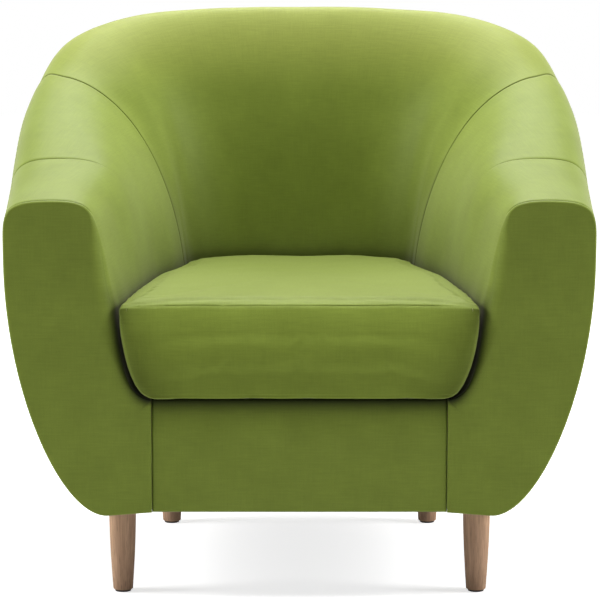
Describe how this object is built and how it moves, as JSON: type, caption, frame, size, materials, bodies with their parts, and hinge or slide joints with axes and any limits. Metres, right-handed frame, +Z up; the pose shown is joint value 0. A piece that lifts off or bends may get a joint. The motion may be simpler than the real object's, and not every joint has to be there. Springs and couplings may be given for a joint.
{
  "type": "tub chair",
  "caption": "Upholstered tub chair with a wrap-round padded back, a loose box seat cushion and turned tapered wooden legs.",
  "frame": {"origin": "on the floor under the middle of the chair", "axes": "+Z up, the seat faces -Y, +X towards the right-hand arm as the picture shows it"},
  "size_m": [0.8904, 0.808, 0.845],
  "materials": {
    "velvet": "matte",
    "deck_cloth": "matte",
    "lining": "matte",
    "foam": "matte",
    "zip": "matte",
    "frame_wood": "matte",
    "walnut": "satin",
    "spring_steel": "satin",
    "zinc_steel": "satin",
    "glide_nylon": "matte"
  },
  "bodies": {
    "chair": {"arm_facing_right": "velvet", "arm_facing_left": "velvet", "inside_arm_right": "velvet", "inside_arm_left": "velvet", "inside_wing_right": "velvet", "inside_wing_left": "velvet", "outside_arm_right": "velvet", "outside_arm_left": "velvet", "inside_back": "velvet", "outside_back": "velvet", "front_border": "velvet", "seat_deck": "deck_cloth", "dust_cover": "lining", "front_post_right": "frame_wood", "front_post_left": "frame_wood", "side_rib_right": "frame_wood", "side_rib_left": "frame_wood", "wing_rib_right": "frame_wood", "wing_rib_left": "frame_wood", "back_rib_right": "frame_wood", "back_rib_left": "frame_wood", "centre_back_rib": "frame_wood", "arm_top_rail_right": "frame_wood", "arm_top_rail_left": "frame_wood", "back_top_rail": "frame_wood", "front_rail": "frame_wood", "rear_rail": "frame_wood", "side_rail_right": "frame_wood", "side_rail_left": "frame_wood", "front_corner_block_right": "frame_wood", "front_corner_block_left": "frame_wood", "rear_corner_block_right": "frame_wood", "rear_corner_block_left": "frame_wood", "inner_spring_right": "spring_steel", "inner_spring_left": "spring_steel", "outer_spring_right": "spring_steel", "outer_spring_left": "spring_steel", "inner_spring_front_clip_right": "zinc_steel", "inner_spring_front_clip_left": "zinc_steel", "inner_spring_rear_clip_right": "zinc_steel", "inner_spring_rear_clip_left": "zinc_steel", "outer_spring_front_clip_right": "zinc_steel", "outer_spring_front_clip_left": "zinc_steel", "outer_spring_rear_clip_right": "zinc_steel", "outer_spring_rear_clip_left": "zinc_steel", "leg_bolt_front_right": "zinc_steel", "leg_bolt_front_left": "zinc_steel", "leg_bolt_rear_right": "zinc_steel", "leg_bolt_rear_left": "zinc_steel", "leg_front_right": "walnut", "leg_front_left": "walnut", "leg_rear_right": "walnut", "leg_rear_left": "walnut", "glide_front_right": "glide_nylon", "glide_front_left": "glide_nylon", "glide_rear_right": "glide_nylon", "glide_rear_left": "glide_nylon"},
    "cushion": {"seat_cushion_cover": "velvet", "seat_cushion_foam": "foam", "cushion_zip": "zip"}
  },
  "joints": [
    {"name": "cushion_lift", "type": "slide", "parent": "chair", "child": "cushion", "axis": [0, 0, 1], "range_m": [0, 0.56]}
  ]
}
